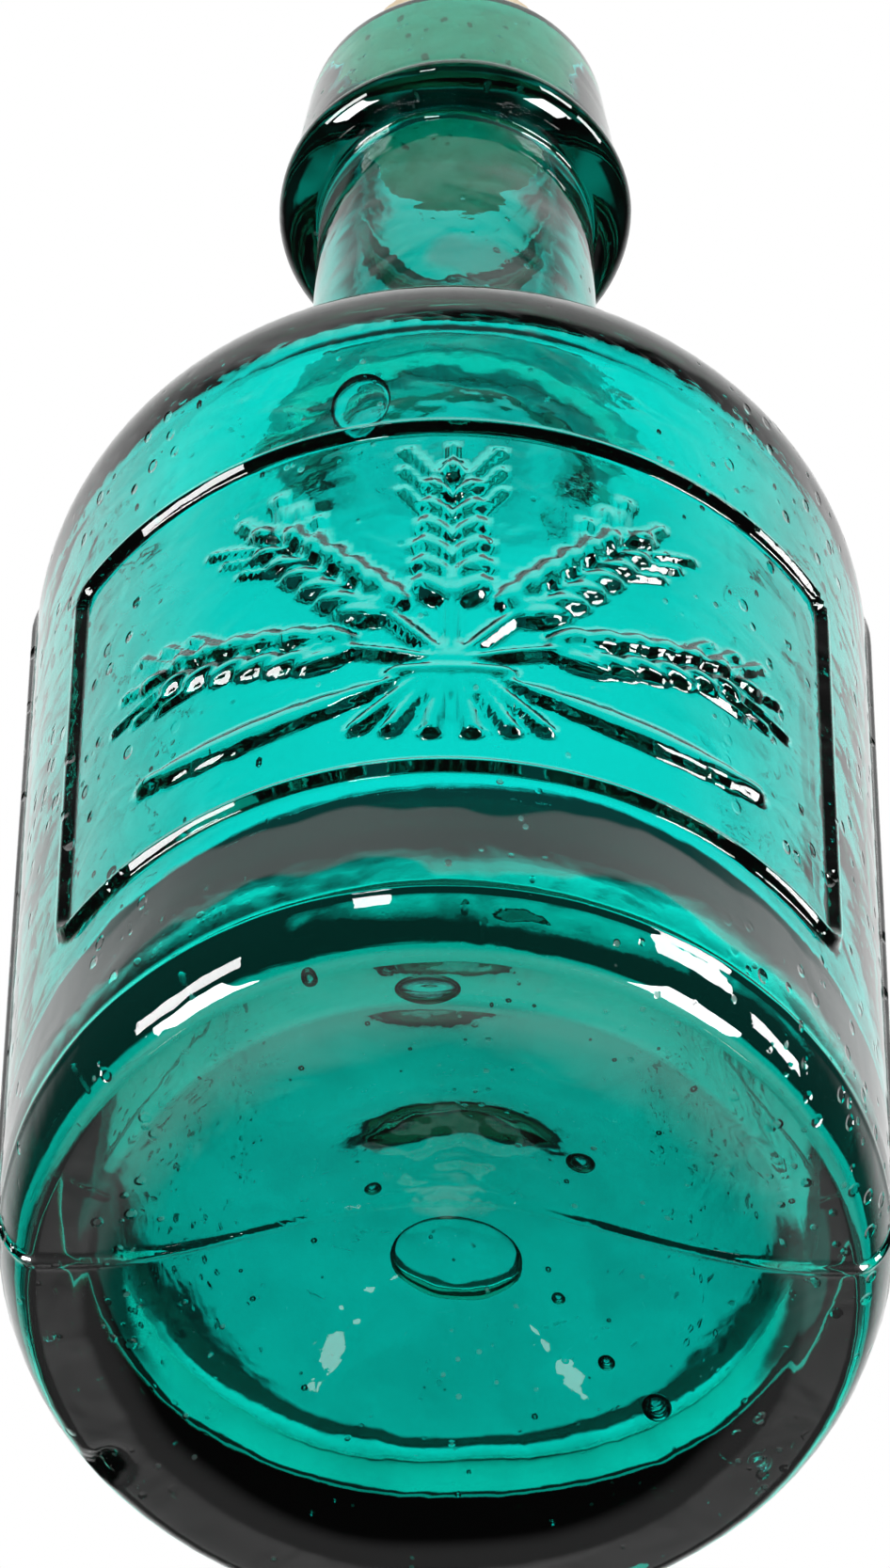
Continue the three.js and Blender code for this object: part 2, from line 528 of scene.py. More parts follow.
@dataclass
class HeelChip:
    """A flake knocked out of the heel's edge."""

    place: Triple = (-27.3, 18.1, 0.4)
    radius: float = 1.7
    depth: float = 0.9

    def cut(self, points: np.ndarray) -> np.ndarray:
        """Depth of the flake at each point.

        Args:
            points: Places on the outside of the glass.

        Returns:
            How much glass is gone there.
        """
        near = np.linalg.norm(points - np.array(self.place), axis=-1)
        return self.depth * np.exp(-((near / self.radius) ** 4))


@dataclass
class MeshColumns:
    """Where the upright lines of the glass mesh run round the bottle, in degrees from the front."""

    front_reach: float = 64.0
    front_step: float = 0.8
    base_seam_reach: float = 78.0
    base_seam_step: float = 0.55
    side_reach: float = 92.0
    side_step: float = 1.4
    back_step: float = 4.6
    plain_step: float = 4.0
    mirror_shift: float = 0.3
    seam_angle: float = 85.86
    chip_angle: float = -123.4
    chip_reach: float = 5.0
    chip_step: float = 0.7
    chip_gap: float = 0.5
    seam_gap: float = 1.6
    seam_reach: float = 1.5
    seam_step: float = 0.3
    past_seam: float = 2.0

    def fine(self) -> np.ndarray:
        """Angles in radians for the plate, the seams and the push-up."""
        front = np.arange(-self.front_reach, self.front_reach, self.front_step)
        side = np.arange(self.front_reach, self.base_seam_reach, self.side_step)
        seam = np.arange(self.base_seam_reach, self.seam_angle, self.base_seam_step)
        last = np.arange(self.seam_angle + self.past_seam, self.side_reach, self.side_step)
        side = np.concatenate([side, seam, last])
        back = np.arange(self.side_reach, 360.0 - self.side_reach, self.back_step)
        chip = np.arange(-self.chip_reach, self.chip_reach + 0.01, self.chip_step)
        chip = 360.0 + self.chip_angle + chip
        back = back[np.abs(back - 360.0 - self.chip_angle) > self.chip_reach + self.chip_gap]
        return self.gather([front, side, -side - self.mirror_shift, back, chip])

    def plain(self) -> np.ndarray:
        """Angles in radians for the shoulder, neck, collar and hollow."""
        return self.gather([np.arange(-180.0, 180.0, self.plain_step)])

    def gather(self, groups: list[np.ndarray]) -> np.ndarray:
        """Joins groups of angles, with closer lines beside the seams.

        Args:
            groups: Angles in degrees.

        Returns:
            Sorted angles from 0 to a full turn, in radians.
        """
        angles = np.concatenate(groups)
        for seam in (-self.seam_angle, self.seam_angle):
            gap = np.abs((angles - seam + 180.0) % 360.0 - 180.0)
            close = np.arange(-self.seam_reach, self.seam_reach + 0.01, self.seam_step)
            angles = np.concatenate([angles[gap > self.seam_gap], seam + close])
        return np.radians(np.sort(np.round(angles % 360.0, 4)))


class NodeWiring:
    """Adds nodes to a node tree and joins their sockets."""

    def __init__(self, tree: bpy.types.NodeTree) -> None:
        """Keeps the tree that nodes are added to."""
        self.tree = tree

    def add(self, kind: str, values: dict[Any, Any] | None = None, **settings: Any) -> bpy.types.Node:
        """Adds a node.

        Args:
            kind: Blender's name for the kind of node.
            values: Sockets or plain values for inputs, by name or number.
            **settings: Properties of the node.

        Returns:
            The new node.
        """
        node = self.tree.nodes.new(kind)
        for name, value in settings.items():
            setattr(node, name, value)
        self.fill(node, values or {})
        return node

    def join(self, source: Socket, target: Socket) -> None:
        """Links an output to an input."""
        self.tree.links.new(source, target)

    def fill(self, node: bpy.types.Node, values: dict[Any, Any]) -> None:
        """Links a node's inputs to sockets, or sets them to plain values.

        Args:
            node: The node.
            values: A socket or a plain value for each input, by name or number.
        """
        for key, value in values.items():
            if isinstance(value, Socket):
                self.join(value, node.inputs[key])
            else:
                node.inputs[key].default_value = value

    def math(self, operation: str, first: Any, second: Any, clamp: bool = False) -> Socket:
        """A Math node's result.

        Args:
            operation: Blender's name for the operation.
            first: A socket or a number.
            second: A socket or a number.
            clamp: Whether the result stays between 0 and 1.

        Returns:
            The result's socket.
        """
        values = {0: first, 1: second}
        return self.add("ShaderNodeMath", values, operation=operation, use_clamp=clamp).outputs[0]

    def times(self, first: Any, *others: Any) -> Socket:
        """The product of sockets and numbers.

        Args:
            first: A socket.
            *others: More sockets and numbers.

        Returns:
            The product's socket.
        """
        for other in others:
            first = self.math("MULTIPLY", first, other)
        return first

    def ramp(
        self, value: Socket, source: Pair, target: Pair
    ) -> Socket:
        """A smooth Map Range of a value.

        Args:
            value: The value's socket.
            source: Range that it is read over.
            target: Range that it is mapped to.

        Returns:
            The mapped value's socket.
        """
        names = ("Value", "From Min", "From Max", "To Min", "To Max")
        values = dict(zip(names, (value, *source, *target)))
        return self.add("ShaderNodeMapRange", values, interpolation_type="SMOOTHSTEP").outputs[0]

    def blend(self, factor: Any, low: Any, high: Any) -> Socket:
        """A float mix of two values.

        Args:
            factor: Socket that picks between them.
            low: Socket or number for factor 0.
            high: Socket or number for factor 1.

        Returns:
            The mixed value's socket.
        """
        return self.add("ShaderNodeMix", {0: factor, 2: low, 3: high}, data_type="FLOAT").outputs[0]

    def colours(self, factor: Socket, low: Any, high: Any) -> Socket:
        """A mix of two colours.

        Args:
            factor: Socket that picks between them.
            low: Socket, or red, green and blue, for factor 0.
            high: Socket, or red, green and blue, for factor 1.

        Returns:
            The mixed colour's socket.
        """
        low, high = (c if isinstance(c, Socket) else (*c, 1.0) for c in (low, high))
        return self.add("ShaderNodeMix", {0: factor, 6: low, 7: high}, data_type="RGBA").outputs[2]

    def window(
        self, value: Socket, rise: Pair, fall: Pair
    ) -> Socket:
        """A mask that goes from 0 to 1 over one range of a value and back to 0 over another.

        Args:
            value: The value's socket.
            rise: Range that the mask rises over.
            fall: Range that it falls over.

        Returns:
            The mask's socket.
        """
        return self.times(self.ramp(value, rise, (0.0, 1.0)), self.ramp(value, fall, (1.0, 0.0)))


def start_material(name: str) -> tuple[bpy.types.Material, NodeWiring, bpy.types.Node]:
    """A new material, with its wiring and its Principled shader.

    Args:
        name: The material's name.

    Returns:
        The material, wiring for its tree and the shader.
    """
    material = bpy.data.materials.new(name)
    material.use_nodes = True
    return material, NodeWiring(material.node_tree), material.node_tree.nodes["Principled BSDF"]


def put_in_scene(name: str, data: Any) -> bpy.types.Object:
    """A new object in the scene.

    Args:
        name: The object's name.
        data: Its mesh, lamp or camera.

    Returns:
        The object.
    """
    made = bpy.data.objects.new(name, data)
    bpy.context.scene.collection.objects.link(made)
    return made


class SurfaceGroups:
    """Shader groups that the glass and the cork share."""

    def __init__(self) -> None:
        """Builds each group once."""
        self.specks = self.build_specks()
        self.unevenness = self.build_unevenness()

    @staticmethod
    def start(name: str, inputs: dict[str, float], output: str) -> NodeWiring:
        """Starts a shader group with float inputs and one float output.

        Args:
            name: The group's name.
            inputs: Input names with their defaults.
            output: The output's name.

        Returns:
            Wiring for the new group, with its input and output nodes in place.
        """
        tree = bpy.data.node_groups.new(name, "ShaderNodeTree")
        for label, default in inputs.items():
            socket = tree.interface.new_socket(label, in_out="INPUT", socket_type="NodeSocketFloat")
            socket.default_value = default
        tree.interface.new_socket(output, in_out="OUTPUT", socket_type="NodeSocketFloat")
        wiring = NodeWiring(tree)
        wiring.add("NodeGroupInput", name="in")
        wiring.add("NodeGroupOutput", name="out")
        return wiring

    def build_specks(self) -> bpy.types.NodeTree:
        """A mask of scattered specks: nicks and pits in glass, pores in cork."""
        wiring = self.start("specks", {"Scale": 500.0, "Size": 0.2, "Spread": 0.5, "Stretch": 1.0}, "Mask")
        inputs, output = wiring.tree.nodes["in"], wiring.tree.nodes["out"]
        place = wiring.add("ShaderNodeTexCoord").outputs["Object"]
        stretch = wiring.add("ShaderNodeCombineXYZ", {0: 1.0, 1: 1.0, 2: inputs.outputs["Stretch"]})
        scaled = wiring.add("ShaderNodeVectorMath", {0: place, 1: stretch.outputs[0]}, operation="MULTIPLY")
        spacing = {"Vector": scaled.outputs[0], "Scale": inputs.outputs["Scale"], "Randomness": 1.0}
        cells = wiring.add("ShaderNodeTexVoronoi", spacing)
        patches = wiring.add("ShaderNodeTexNoise", {"Vector": place, "Scale": 90.0, "Detail": 3.0})
        inner = wiring.math("SUBTRACT", inputs.outputs["Size"], cells.outputs["Distance"])
        dots = wiring.math("MULTIPLY", inner, 12.0, clamp=True)
        room = wiring.math("SUBTRACT", patches.outputs["Fac"], inputs.outputs["Spread"])
        keep = wiring.math("MULTIPLY", room, 14.0, clamp=True)
        wiring.join(wiring.math("MULTIPLY", dots, keep), output.inputs["Mask"])
        return wiring.tree

    def build_unevenness(self) -> bpy.types.NodeTree:
        """A height that rolls slowly with a finer skin on it."""
        wiring = self.start("unevenness", {"Coarse": 90.0, "Fine": 900.0, "Skin": 0.1}, "Height")
        inputs, output = wiring.tree.nodes["in"], wiring.tree.nodes["out"]
        place = wiring.add("ShaderNodeTexCoord")
        coarse = wiring.add("ShaderNodeTexNoise", {"Detail": 2.0, "Roughness": 0.45, "Distortion": 0.6})
        fine = wiring.add("ShaderNodeTexNoise", {"Detail": 3.0, "Roughness": 0.6})
        for node, label in ((coarse, "Coarse"), (fine, "Fine")):
            wiring.join(place.outputs["Object"], node.inputs["Vector"])
            wiring.join(inputs.outputs[label], node.inputs["Scale"])
        skin = wiring.math("MULTIPLY", fine.outputs["Fac"], inputs.outputs["Skin"])
        wiring.join(wiring.math("ADD", coarse.outputs["Fac"], skin), output.inputs["Height"])
        return wiring.tree


NICKS = {"Scale": 520.0, "Size": 0.17, "Spread": 0.53, "Stretch": 0.7}
PITS = {"Scale": 430.0, "Size": 0.24, "Spread": 0.46, "Stretch": 0.6}
PORES = {"Scale": 700.0, "Size": 0.22, "Spread": 0.48, "Stretch": 0.45}
GLASS_SKIN = {"Coarse": 130.0, "Fine": 700.0, "Skin": 0.035}
CORK_SKIN = {"Coarse": 320.0, "Fine": 2200.0, "Skin": 0.4}


@dataclass(frozen=True)
class GlassFinish:
    """Clear blue-green glass that takes red light first, with nicks, dirty pits, dust and bloom, and with
    painted shade in its colour on the push-up, under the collar's bead, on the neck, on the front over the
    heel and on the body's sides.

    Heights and places on the bottle are in metres, as in the material's coordinates.
    """

    absorbed: Triple = (1000.0, 60.0, 73.0)
    bend: float = 1.52
    gloss: float = 0.0
    nick_roughness: float = 0.45
    bloom_roughness: float = 0.5
    bloom_bend: float = 2.0
    # Dark colour that the base colour is mixed towards, both for the dirty pits and for all the painted
    # shade.
    dirt_and_shade: Triple = (0.012, 0.012, 0.008)
    dust: float = 0.04
    dust_roughness: float = 0.3
    dust_colour: Triple = (0.9, 0.87, 0.76)
    streak: Triple = (0.96, 0.99, 0.98)
    pit_sides: Pair = (0.021, 0.032)
    pit_dirt: float = 0.6
    pit_depth: float = -5.0
    nick_depth: float = -0.25
    ring_bloom: Pair = (0.0004, 0.0008)
    # The wall band over the heel carries both the coat's bloom and painted shade.
    wall_band_heights: Ramp = ((0.0090, 0.0098), (0.0162, 0.0170))
    wall_wander: float = 0.009
    wall_front: Pair = (-0.026, -0.004)
    neck_bloom: Ramp = ((0.1250, 0.1330), (0.1570, 0.1600))
    # Painted shade on the body's sides.
    side_shade: Pair = (0.022, 0.035)
    side_foot: Pair = (0.004, 0.012)
    ring_haze: float = 0.15
    # Strength of the front band, for its bloom and for its painted shade.
    wall_haze_and_shade: float = 0.6
    neck_haze: float = 0.55
    side_share: float = 0.32
    neck_share: float = 0.6

    def material(self, groups: SurfaceGroups) -> bpy.types.Material:
        """The glass as a material.

        Args:
            groups: Shared shader groups.

        Returns:
            The material.
        """
        material, wiring, shader = start_material("blue_green_glass")
        density = max(self.absorbed)
        passed = (*(1.0 - a / density for a in self.absorbed), 1.0)
        body = wiring.add("ShaderNodeVolumeAbsorption", {"Density": density, "Color": passed})
        wiring.join(body.outputs[0], material.node_tree.nodes["Material Output"].inputs["Volume"])

        place = wiring.add("ShaderNodeTexCoord").outputs["Object"]
        nicks = wiring.add("ShaderNodeGroup", NICKS, node_tree=groups.specks).outputs["Mask"]
        skin = wiring.add("ShaderNodeGroup", GLASS_SKIN, node_tree=groups.unevenness).outputs["Height"]
        pits = self.pits(wiring, groups, place)
        dents = wiring.math("ADD", wiring.times(nicks, self.nick_depth), wiring.times(pits, self.pit_depth))
        height = wiring.math("ADD", skin, dents)
        bump = wiring.add("ShaderNodeBump", {"Strength": 0.3, "Distance": 0.0004, "Height": height})

        bloom, shade_and_patches = self.bloom(wiring, place)
        # Painted shade: the mesh's shade values, mottled by the skin noise, are added to the shade masks and
        # the dirty pits, and together they darken the base colour.
        painted_shade = wiring.add("ShaderNodeAttribute", attribute_name="painted_shade").outputs["Fac"]
        share = wiring.times(painted_shade, wiring.ramp(skin, (0.35, 0.75), (0.85, 1.1)))
        share = wiring.math("ADD", wiring.math("ADD", share, shade_and_patches), pits, clamp=True)
        veins = {"Vector": place, "Scale": 34.0, "Detail": 3.0, "Distortion": 1.2}
        streaks = wiring.add("ShaderNodeTexNoise", veins).outputs["Fac"]
        clean = wiring.colours(wiring.ramp(streaks, (0.35, 0.65), (0.0, 1.0)), self.streak, (1.0, 1.0, 1.0))
        wiring.fill(
            shader,
            {
                # The base colour darkens by the share: painted shade from the mesh and the masks, and the
                # dirty pits.
                "Base Color": wiring.colours(share, clean, self.dirt_and_shade),
                "Roughness": wiring.ramp(nicks, (0.0, 1.0), (self.gloss, self.nick_roughness)),
                "Normal": bump.outputs[0],
                "IOR": self.bend,
                "Transmission Weight": 1.0,
                "Coat Weight": bloom,
                "Coat Roughness": self.bloom_roughness,
                "Coat IOR": self.bloom_bend,
                "Sheen Weight": self.dust,
                "Sheen Roughness": self.dust_roughness,
                "Sheen Tint": (*self.dust_colour, 1.0),
            },
        )
        return material

    def pits(
        self, wiring: NodeWiring, groups: SurfaceGroups, place: Socket
    ) -> Socket:
        """Share of light taken by dirty pits on the two sides of the body.

        Args:
            wiring: Wiring of the glass's tree.
            groups: Shared shader groups.
            place: Object coordinates.

        Returns:
            The share's socket.
        """
        pits = wiring.add("ShaderNodeGroup", PITS, node_tree=groups.specks).outputs["Mask"]
        parts = wiring.add("ShaderNodeSeparateXYZ", {0: place})
        aside = wiring.math("ABSOLUTE", parts.outputs["X"], 0.0)
        outside = wiring.add("ShaderNodeAttribute", attribute_name="outside").outputs["Fac"]
        kept = wiring.times(wiring.ramp(aside, self.pit_sides, (0.0, self.pit_dirt)), outside)
        return wiring.times(pits, kept)

    def bloom(
        self, wiring: NodeWiring, place: Socket
    ) -> tuple[Socket, Socket]:
        """Masks of the grey bloom that weather and wear leave on the outside of old glass, and of painted
        shade.

        Args:
            wiring: Wiring of the glass's tree.
            place: Object coordinates.

        Returns:
            The bloom's mask (the ring, the front of the wall over the heel and patches on the neck) and the
            share by which the base colour darkens: painted shade on that wall's front and on the body's
                sides, and darker patches on the neck.
        """
        patchwork = {"Vector": place, "Scale": 95.0, "Detail": 2.0, "Roughness": 0.4}
        patches = wiring.add("ShaderNodeTexNoise", patchwork).outputs["Fac"]
        parts = wiring.add("ShaderNodeSeparateXYZ", {0: place})
        rise = parts.outputs["Z"]
        shift = wiring.times(wiring.math("SUBTRACT", patches, 0.5), self.wall_wander)
        ring = wiring.ramp(rise, self.ring_bloom, (self.ring_haze, 0.0))
        # Painted shade: the band over the heel is kept to the front, the side that faces the camera. The
        # coat's bloom shares this mask.
        front = wiring.ramp(parts.outputs["Y"], self.wall_front, (self.wall_haze_and_shade, 0.0))
        wall = wiring.times(wiring.window(wiring.math("ADD", rise, shift), *self.wall_band_heights), front)
        spots = wiring.ramp(patches, (0.50, 0.63), (0.0, self.neck_haze))
        neck = wiring.times(wiring.window(rise, *self.neck_bloom), spots)
        aside = wiring.math("ABSOLUTE", parts.outputs["X"], 0.0)
        # Painted shade: the body's sides darken away from the middle, in patches, from a little above the
        # ring.
        sides = wiring.times(
            wiring.ramp(aside, self.side_shade, (0.0, self.side_share)),
            wiring.ramp(patches, (0.35, 0.65), (0.6, 1.0)),
            wiring.ramp(rise, self.side_foot, (0.0, 1.0)),
        )
        mask = wiring.math("ADD", wiring.math("ADD", ring, wall), neck, clamp=True)
        # Share that darkens the base colour: the painted shade of the front band and the sides, and darker
        # patches on the neck.
        dimmed = wiring.math("ADD", wiring.math("ADD", wall, sides), wiring.times(neck, self.neck_share))
        outside = wiring.add("ShaderNodeAttribute", attribute_name="outside").outputs["Fac"]
        return wiring.times(mask, outside), wiring.times(dimmed, outside)


@dataclass(frozen=True)
class CorkFinish:
    """Natural bark cork: warm tan, with darker pores and grain."""

    pale: Triple = (0.82, 0.68, 0.48)
    warm: Triple = (0.72, 0.55, 0.36)
    pore: Triple = (0.36, 0.23, 0.13)

    def material(self, groups: SurfaceGroups) -> bpy.types.Material:
        """The cork as a material.

        Args:
            groups: Shared shader groups.

        Returns:
            The material.
        """
        material, wiring, shader = start_material("bark_cork")
        skin = wiring.add("ShaderNodeGroup", CORK_SKIN, node_tree=groups.unevenness).outputs["Height"]
        pores = wiring.add("ShaderNodeGroup", PORES, node_tree=groups.specks).outputs["Mask"]
        bark = wiring.colours(wiring.ramp(skin, (0.5, 0.85), (0.0, 1.0)), self.warm, self.pale)
        height = wiring.math("SUBTRACT", skin, pores)
        bump = wiring.add("ShaderNodeBump", {"Strength": 0.6, "Distance": 0.0003, "Height": height})
        wiring.fill(
            shader,
            {
                "Base Color": wiring.colours(pores, bark, self.pore),
                "Roughness": wiring.ramp(skin, (0.4, 1.0), (0.78, 0.95)),
                "Normal": bump.outputs[0],
            },
        )
        return material


class MeshParts:
    """Vertices and faces of one mesh while it is put together."""

    def __init__(self) -> None:
        """Starts with no vertices and no faces."""
        self.points: list[np.ndarray] = []
        self.faces: list[tuple[int, ...]] = []
        self.count = 0

    def add_points(self, points: np.ndarray) -> np.ndarray:
        """Adds vertices.

        Args:
            points: Places in millimetres, in an array whose last axis is x, y and z.

        Returns:
            Their numbers, in the shape of the array without that axis.
        """
        flat = points.reshape(-1, 3)
        numbers = np.arange(self.count, self.count + len(flat)).reshape(points.shape[:-1])
        self.points.append(flat)
        self.count += len(flat)
        return numbers

    def bands(self, rings: list[np.ndarray]) -> None:
        """Faces between each ring and the next, all of the same length."""
        for low, high in zip(rings, rings[1:]):
            quads = np.stack([low, np.roll(low, -1), np.roll(high, -1), high], axis=-1)
            self.faces += [tuple(q) for q in quads.tolist()]

    def fan(self, ring: np.ndarray, tip: int, tip_first: bool) -> None:
        """Triangles between a ring and a single point.

        Args:
            ring: The ring's vertex numbers.
            tip: The point's vertex number.
            tip_first: True where the outline runs from the point to the ring.
        """
        for a, b in zip(ring.tolist(), np.roll(ring, -1).tolist()):
            self.faces.append((tip, b, a) if tip_first else (a, b, tip))

    def weave(
        self, low: np.ndarray, low_angles: np.ndarray, high: np.ndarray, high_angles: np.ndarray
    ) -> None:
        """Triangles between two rings with different columns.

        Args:
            low: Vertex numbers of the first ring.
            low_angles: Their sorted angles.
            high: Vertex numbers of the second ring.
            high_angles: Their sorted angles.
        """
        turn = 2.0 * math.pi
        a_angles = np.append(low_angles, low_angles[0] + turn)
        b_angles = np.append(high_angles, high_angles[0] + turn)
        a, b = np.append(low, low[0]).tolist(), np.append(high, high[0]).tolist()
        i = j = 0
        while i < len(low) or j < len(high):
            if j == len(high) or (i < len(low) and a_angles[i + 1] <= b_angles[j + 1]):
                self.faces.append((a[i], a[i + 1], b[j]))
                i += 1
            else:
                self.faces.append((a[i], b[j + 1], b[j]))
                j += 1

    def mesh(self, name: str) -> bpy.types.Mesh:
        """The finished mesh in metres, shaded smooth.

        Args:
            name: The mesh's name.

        Returns:
            The mesh.
        """
        made = bpy.data.meshes.new(name)
        made.from_pydata((np.concatenate(self.points) * MM).tolist(), [], self.faces)
        made.polygons.foreach_set("use_smooth", [True] * len(made.polygons))
        made.update()
        return made


def turned(rows: list[Row], angles: np.ndarray) -> tuple[np.ndarray, np.ndarray]:
    """A turned surface.

    Args:
        rows: Rows of the outline, with the solid on their left.
        angles: Angles from the front, in radians.

    Returns:
        Places on the surface and directions out of the solid there, each as rows by columns by x, y and z.
    """
    line = np.array([(r.radius, r.height) for r in rows])
    run = np.gradient(line, axis=0)
    run /= np.maximum(np.linalg.norm(run, axis=1), 1e-9)[:, None]
    across, depth = np.sin(angles)[None, :], -np.cos(angles)[None, :]
    points, normals = (
        np.stack([out * across, out * depth, up + 0.0 * across], axis=-1)
        for out, up in ((line[:, :1], line[:, 1:]), (run[:, 1:], -run[:, :1]))
    )
    return points, normals


@dataclass
class SeededGlass:
    """Bubbles that the glassmaker left in the batch, set out by Geometry Nodes as hollows."""

    seed: int = 1873
    wall_seeds: int = 170
    wall_angles: Triple = (20.0, 175.0, 68.0)
    wall_radii: Pair = (34.2, 35.4)
    wall_heights: Pair = (8.0, 88.0)
    wall_sizes: Pair = (0.1, 0.32)
    wall_stretch: Pair = (1.2, 2.8)
    base_seeds: int = 46
    base_reach: float = 29.0
    base_sizes: Pair = (0.12, 0.34)

    def bubbles(self) -> list[Bubble]:
        """Every bubble: the ones that stand out and a scatter of seeds.

        Returns:
            The bubbles, with the seeds last.
        """
        large, small, face = BubbleKind.LARGE, BubbleKind.SMALL, self.facing
        made = [
            Bubble((0.9, 5.0, 12.2), (5.9, 4.4, 0.75), 0.1, large),
            Bubble((11.0, -8.7, 7.4), (1.25, 1.15, 1.1), 0.0, large),
            Bubble((-6.2, -3.7, 10.3), (0.75, 0.7, 0.7), 0.0, small),
            Bubble((17.4, 14.3, 4.6), (1.25, 1.25, 1.1), 0.0, large),
            Bubble((13.4, 11.4, 6.6), (0.75, 0.7, 0.7), 0.0, small),
            Bubble((9.5, 6.8, 9.2), (0.6, 0.6, 0.5), 0.0, small),
            Bubble((25.5, 17.7, 1.9), (1.0, 1.0, 0.8), 0.0, small),
            Bubble((-1.6, -29.2, 1.9), (2.6, 1.4, 0.9), 0.0, large),
            Bubble((-10.8, -30.0, 1.8), (0.65, 0.65, 0.6), 0.0, small),
            Bubble((-31.5, 5.65, 1.85), (0.65, 0.6, 0.6), 0.0, small),
            Bubble((-22.2, -26.7, 12.9), (0.4, 0.35, 0.5), face(-22.2, -26.7), small),
            Bubble((-26.5, -22.5, 25.2), (0.6, 0.4, 0.7), face(-26.5, -22.5), small),
            Bubble((2.6, -34.6, 55.3), (0.5, 0.4, 0.55), face(2.6, -34.6), small),
            Bubble((-7.6, -33.6, 77.2), (2.5, 0.3, 4.5), face(-7.6, -33.6), large),
        ]
        return made + list(self.scatter())

    @staticmethod
    def facing(x: float, y: float) -> float:
        """Angle of a place from the front of the bottle, in radians."""
        return math.atan2(x, -y)

    def scatter(self) -> Iterator[Bubble]:
        """Seeds at random in the wall, mostly on its two sides, and in the base.

        Yields:
            Each seed.
        """
        dice = random.Random(self.seed)
        for _ in range(self.wall_seeds):
            side = dice.choice((-1.0, 1.0))
            angle = side * math.radians(dice.triangular(*self.wall_angles))
            radius, height = dice.uniform(*self.wall_radii), dice.uniform(*self.wall_heights)
            size = dice.uniform(*self.wall_sizes)
            place = (radius * math.sin(angle), -radius * math.cos(angle), height)
            half = (size, size * 0.8, size * dice.uniform(*self.wall_stretch))
            yield Bubble(place, half, angle, BubbleKind.SEED)
        for _ in range(self.base_seeds):
            angle, radius = dice.uniform(-math.pi, math.pi), self.base_reach * math.sqrt(dice.random())
            low = 2.4 + 10.0 * max(0.0, 1.0 - radius / 28.5)
            size = dice.uniform(*self.base_sizes)
            place = (radius * math.sin(angle), -radius * math.cos(angle), low + dice.uniform(0.0, 2.0))
            yield Bubble(place, (size, size, size * 0.8), 0.0, BubbleKind.SEED)

    def tree(self) -> bpy.types.NodeTree:
        """The node tree that puts a hollow ball at each point.

        Returns:
            The tree, with inputs for the ball's fineness, its swelling and the glass.
        """
        tree = bpy.data.node_groups.new("bubbles_in_glass", "GeometryNodeTree")
        kinds = {"Places": "Geometry", "Fineness": "Int", "Swell": "Float", "Glass": "Material"}
        for label, kind in kinds.items():
            tree.interface.new_socket(label, in_out="INPUT", socket_type=f"NodeSocket{kind}")
        tree.interface.new_socket("Bubbles", in_out="OUTPUT", socket_type="NodeSocketGeometry")
        wiring = NodeWiring(tree)
        inputs, output = wiring.add("NodeGroupInput"), wiring.add("NodeGroupOutput")
        fineness = {"Radius": 1.0, "Subdivisions": inputs.outputs["Fineness"]}
        ball = wiring.add("GeometryNodeMeshIcoSphere", fineness)
        hollow = wiring.add("GeometryNodeFlipFaces", {0: ball.outputs["Mesh"]})
        half = wiring.add("GeometryNodeInputNamedAttribute", {"Name": "half"}, data_type="FLOAT_VECTOR")
        turn = wiring.add("GeometryNodeInputNamedAttribute", {"Name": "turn"}, data_type="FLOAT_VECTOR")
        swelling = {0: half.outputs["Attribute"], "Scale": inputs.outputs["Swell"]}
        sized = wiring.add("ShaderNodeVectorMath", swelling, operation="SCALE")
        angles = wiring.add("FunctionNodeEulerToRotation", {0: turn.outputs["Attribute"]})
        copies = wiring.add(
            "GeometryNodeInstanceOnPoints",
            {
                "Points": inputs.outputs["Places"],
                "Instance": hollow.outputs[0],
                "Rotation": angles.outputs[0],
                "Scale": sized.outputs[0],
            },
        )
        real = wiring.add("GeometryNodeRealizeInstances", {0: copies.outputs[0]})
        glass = {"Geometry": real.outputs[0], "Material": inputs.outputs["Glass"]}
        dressed = wiring.add("GeometryNodeSetMaterial", glass)
        wiring.join(dressed.outputs[0], output.inputs["Bubbles"])
        return tree

    def shells(self, material: bpy.types.Material) -> list[bpy.types.Mesh]:
        """Meshes of the bubbles, one for each kind.

        Args:
            material: The glass.

        Returns:
            Plain meshes in metres whose faces look into the bubbles.
        """
        tree = self.tree()
        names = {item.name: item.identifier for item in tree.interface.items_tree if item.in_out == "INPUT"}
        every, made = self.bubbles(), []
        for kind in BubbleKind:
            chosen = [b for b in every if b.kind is kind]
            points = bpy.data.meshes.new(f"bubble_places_{kind.name.lower()}")
            points.from_pydata([Vector(b.place) * MM for b in chosen], [], [])
            for label, rows in (
                ("half", [Vector(b.half) * MM for b in chosen]),
                ("turn", [Vector((0.0, 0.0, b.turn)) for b in chosen]),
            ):
                attribute = points.attributes.new(label, "FLOAT_VECTOR", "POINT")
                attribute.data.foreach_set("vector", [c for row in rows for c in row])
            holder = put_in_scene(points.name, points)
            modifier = holder.modifiers.new("bubbles", "NODES")
            modifier.node_group = tree
            modifier[names["Fineness"]] = kind.value
            modifier[names["Swell"]] = 1.0
            modifier[names["Glass"]] = material
            evaluated = holder.evaluated_get(bpy.context.evaluated_depsgraph_get())
            made.append(bpy.data.meshes.new_from_object(evaluated))
            holder.modifiers.remove(modifier)
            bpy.data.objects.remove(holder)
        return made


